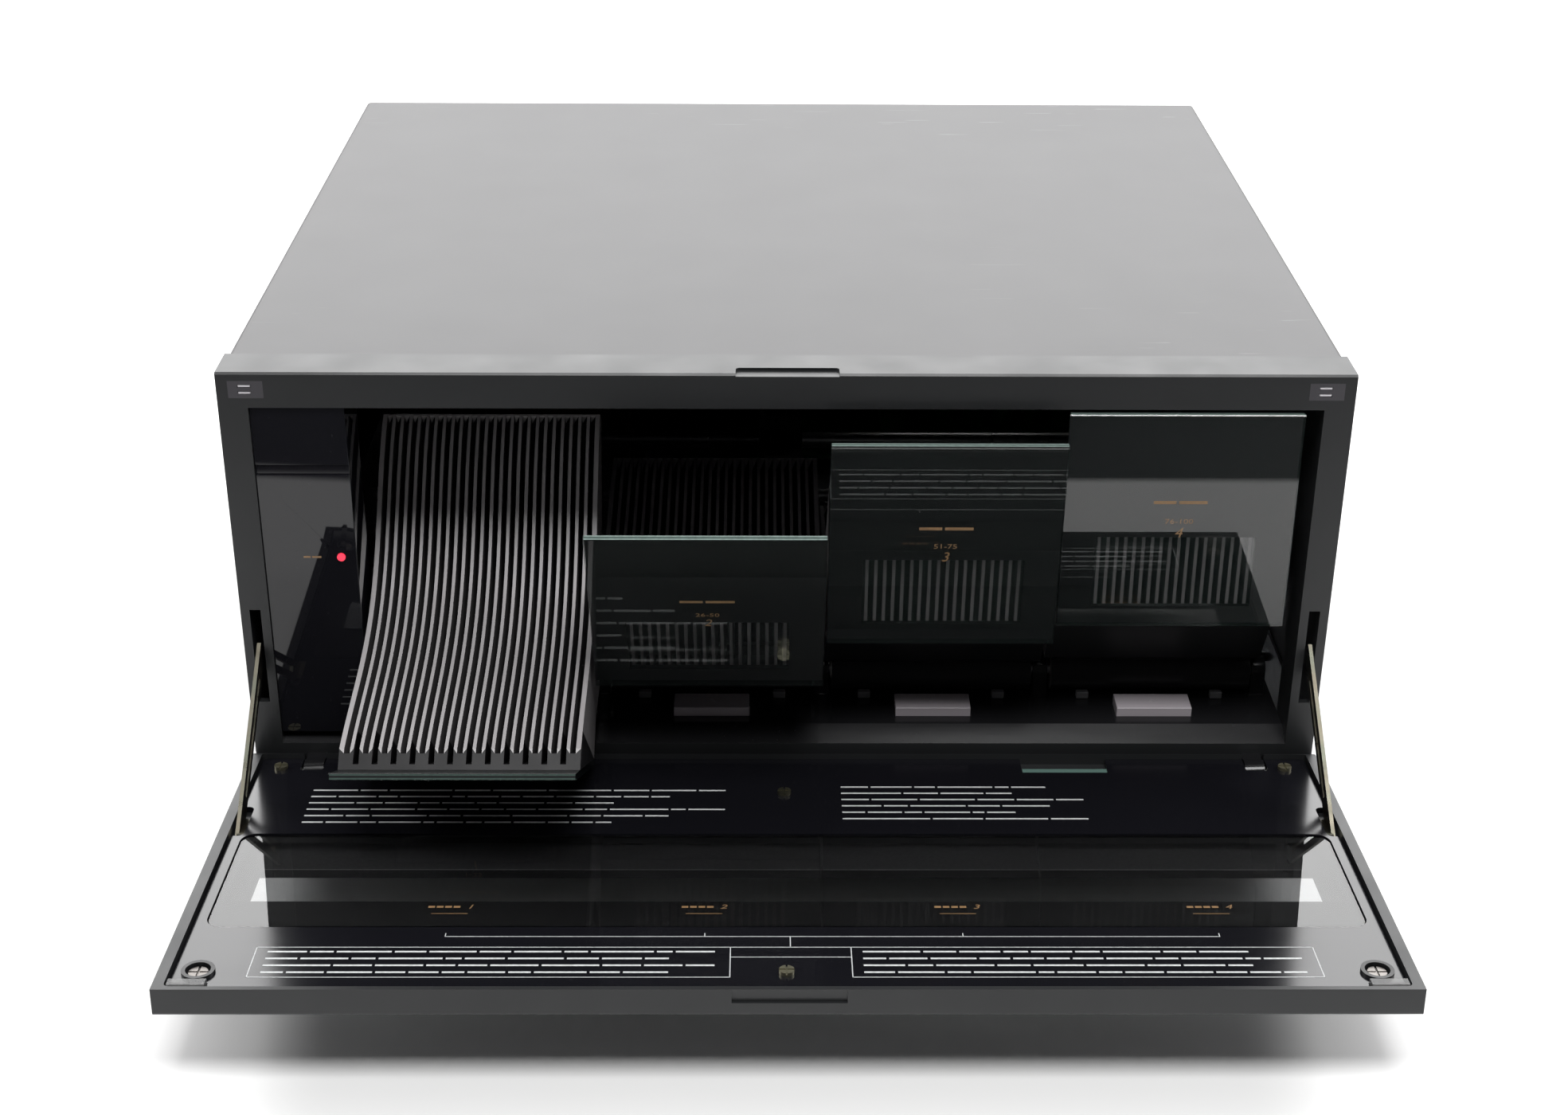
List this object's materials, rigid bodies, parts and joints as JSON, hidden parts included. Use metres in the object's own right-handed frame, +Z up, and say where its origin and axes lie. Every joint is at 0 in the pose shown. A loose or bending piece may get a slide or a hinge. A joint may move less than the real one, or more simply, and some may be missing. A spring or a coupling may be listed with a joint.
{
  "type": "disc changer",
  "caption": "Stacking hi-fi disc changer with drop-down door, swing-out slotted disc racks, eject buttons and sliding play carriage.",
  "frame": {"origin": "middle of the width and of the whole depth with the door open, at floor level under the feet", "axes": "+X to the right seen from the front, +Y from the front to the back, +Z up; the door opens towards -Y"},
  "size_m": [0.435, 0.564, 0.193],
  "materials": {
    "charcoal_paint": "satin",
    "charcoal_plastic": "satin",
    "black_plastic": "matte",
    "gloss_black": "gloss",
    "smoked": "smoked gloss",
    "green_lens": "gloss",
    "rack_grey": "satin",
    "button_grey": "satin",
    "red_lamp": "lit red lens",
    "yellow_zinc": "yellow zinc plate",
    "plated_screw": "yellow plated steel",
    "black_screw": "black oxide",
    "steel": "ground",
    "zinc_steel": "zinc plate",
    "core_steel": "varnished core",
    "jack_metal": "plated",
    "clear_pad": "clear rubber",
    "white_plastic": "matte",
    "belt_rubber": "matte",
    "board_green": "solder mask"
  },
  "bodies": {
    "housing": {"base": "zinc_steel", "cover": "charcoal_paint", "cover_screws": "black_screw", "rear_panel": "charcoal_paint", "feet": "black_plastic", "audio_jacks": "jack_metal", "mains_inlet": "black_plastic", "bezel": "charcoal_plastic", "latch_plate_left": "charcoal_plastic", "latch_plate_right": "charcoal_plastic", "button_deck": "black_plastic", "side_strip": "gloss_black", "standby_lamp": "red_lamp", "rack_4_axle": "steel", "mechanism_bracket_left": "zinc_steel", "mechanism_bracket_right": "zinc_steel", "guide_rods": "steel", "carriage_motor": "zinc_steel", "drive_belt": "belt_rubber", "transformer": "core_steel", "main_board": "board_green"},
    "door": {"door_shell": "charcoal_plastic", "door_liner": "gloss_black", "door_window": "smoked", "display_lens": "smoked", "sensor_lens": "green_lens", "door_stay_left": "yellow_zinc", "door_stay_right": "yellow_zinc", "striker_cup_left": "black_plastic", "striker_cup_right": "black_plastic", "corner_pad_left": "clear_pad", "corner_pad_right": "clear_pad", "cup_screws": "plated_screw", "liner_screws": "plated_screw", "hinge_pins": "steel"},
    "power_key": {"power_key": "charcoal_plastic"},
    "play_key": {"play_key": "charcoal_plastic"},
    "stop_key": {"stop_key": "charcoal_plastic"},
    "skip_key": {"skip_key": "charcoal_plastic"},
    "eject_1": {"eject_button_1": "button_grey"},
    "eject_2": {"eject_button_2": "button_grey"},
    "eject_3": {"eject_button_3": "button_grey"},
    "eject_4": {"eject_button_4": "button_grey"},
    "axle_1": {"rack_1_axle": "steel"},
    "rack_1": {"rack_1_tray": "rack_grey", "rack_1_panel": "smoked"},
    "axle_2": {"rack_2_axle": "steel"},
    "sleeve_2": {"rack_2_sleeve": "white_plastic"},
    "rack_2": {"rack_2_tray": "rack_grey", "rack_2_panel": "smoked"},
    "axle_3": {"rack_3_axle": "steel"},
    "sleeve_3": {"rack_3_sleeve": "white_plastic"},
    "rack_3": {"rack_3_tray": "rack_grey", "rack_3_panel": "smoked"},
    "rack_4": {"rack_4_tray": "rack_grey", "rack_4_panel": "smoked"},
    "carriage": {"carriage": "black_plastic"},
    "turntable": {"turntable": "white_plastic"},
    "pickup": {"pickup": "black_plastic"},
    "lead_screw": {"lead_screw": "steel"}
  },
  "joints": [
    {"name": "door_swing", "type": "hinge", "parent": "housing", "child": "door", "pos_m": [0, -0.11001, 0.0207], "axis": [-1, 0, 0], "range_deg": [0, 85.9]},
    {"name": "rack_1_homing", "type": "hinge", "parent": "housing", "child": "axle_1", "pos_m": [-0.1226, -0.06431, 0.0443], "axis": [-1, 0, 0], "range_deg": [0, 61.75]},
    {"name": "rack_2_homing", "type": "hinge", "parent": "housing", "child": "axle_2", "pos_m": [-0.0305, -0.06431, 0.0443], "axis": [-1, 0, 0], "range_deg": [0, 24.67]},
    {"name": "rack_3_homing", "type": "hinge", "parent": "housing", "child": "axle_3", "pos_m": [0.0616, -0.06431, 0.0443], "axis": [-1, 0, 0], "range_deg": [0, 7.36]},
    {"name": "rack_1_swing", "type": "hinge", "parent": "axle_1", "child": "rack_1", "pos_m": [-0.1226, -0.06431, 0.0443], "axis": [1, 0, 0], "range_deg": [-61.75, 0]},
    {"name": "rack_2_push_home", "type": "hinge", "parent": "axle_2", "child": "sleeve_2", "pos_m": [-0.0305, -0.06431, 0.0443], "axis": [1, 0, 0], "range_deg": [-24.67, 0]},
    {"name": "rack_2_swing_out", "type": "hinge", "parent": "sleeve_2", "child": "rack_2", "pos_m": [-0.0305, -0.06431, 0.0443], "axis": [-1, 0, 0], "range_deg": [-37.08, 0]},
    {"name": "rack_3_push_home", "type": "hinge", "parent": "axle_3", "child": "sleeve_3", "pos_m": [0.0616, -0.06431, 0.0443], "axis": [1, 0, 0], "range_deg": [-7.36, 0]},
    {"name": "rack_3_swing_out", "type": "hinge", "parent": "sleeve_3", "child": "rack_3", "pos_m": [0.0616, -0.06431, 0.0443], "axis": [-1, 0, 0], "range_deg": [-54.39, 0]},
    {"name": "rack_4_swing", "type": "hinge", "parent": "housing", "child": "rack_4", "pos_m": [0.1537, -0.06431, 0.0443], "axis": [-1, 0, 0], "range_deg": [-61.75, 0]},
    {"name": "eject_1_press", "type": "slide", "parent": "housing", "child": "eject_1", "axis": [0, 0, -1], "range_m": [0, 0.003], "stiffness_N_per_m": 250, "springref_m": -0.001},
    {"name": "eject_2_press", "type": "slide", "parent": "housing", "child": "eject_2", "axis": [0, 0, -1], "range_m": [0, 0.003], "stiffness_N_per_m": 250, "springref_m": -0.001},
    {"name": "eject_3_press", "type": "slide", "parent": "housing", "child": "eject_3", "axis": [0, 0, -1], "range_m": [0, 0.003], "stiffness_N_per_m": 250, "springref_m": -0.001},
    {"name": "eject_4_press", "type": "slide", "parent": "housing", "child": "eject_4", "axis": [0, 0, -1], "range_m": [0, 0.003], "stiffness_N_per_m": 250, "springref_m": -0.001},
    {"name": "power_key_press", "type": "slide", "parent": "door", "child": "power_key", "axis": [0, 0.0715, 0.9974], "range_m": [0, 0.0012], "stiffness_N_per_m": 250, "springref_m": -0.001},
    {"name": "play_key_press", "type": "slide", "parent": "door", "child": "play_key", "axis": [0, 0.0715, 0.9974], "range_m": [0, 0.0012], "stiffness_N_per_m": 250, "springref_m": -0.001},
    {"name": "stop_key_press", "type": "slide", "parent": "door", "child": "stop_key", "axis": [0, 0.0715, 0.9974], "range_m": [0, 0.0012], "stiffness_N_per_m": 250, "springref_m": -0.001},
    {"name": "skip_key_press", "type": "slide", "parent": "door", "child": "skip_key", "axis": [0, 0.0715, 0.9974], "range_m": [0, 0.0012], "stiffness_N_per_m": 250, "springref_m": -0.001},
    {"name": "carriage_slide", "type": "slide", "parent": "housing", "child": "carriage", "axis": [1, 0, 0], "range_m": [-0.166, 0.19]},
    {"name": "turntable_spin", "type": "hinge", "parent": "carriage", "child": "turntable", "pos_m": [0, 0.12999, 0.112], "axis": [1, 0, 0], "continuous": true},
    {"name": "pickup_slide", "type": "slide", "parent": "carriage", "child": "pickup", "axis": [0, 1, 0], "range_m": [0, 0.018]},
    {"name": "lead_screw_spin", "type": "hinge", "parent": "housing", "child": "lead_screw", "pos_m": [0, 0.12899, 0.034], "axis": [1, 0, 0], "continuous": true}
  ],
  "couplings": [
    {"joint": "rack_1_homing", "follows": "door_swing", "ratio": 0.71886},
    {"joint": "rack_2_homing", "follows": "door_swing", "ratio": 0.28719},
    {"joint": "rack_3_homing", "follows": "door_swing", "ratio": 0.085681},
    {"joint": "lead_screw_spin", "follows": "carriage_slide", "rad_per_m": 261.8}
  ]
}
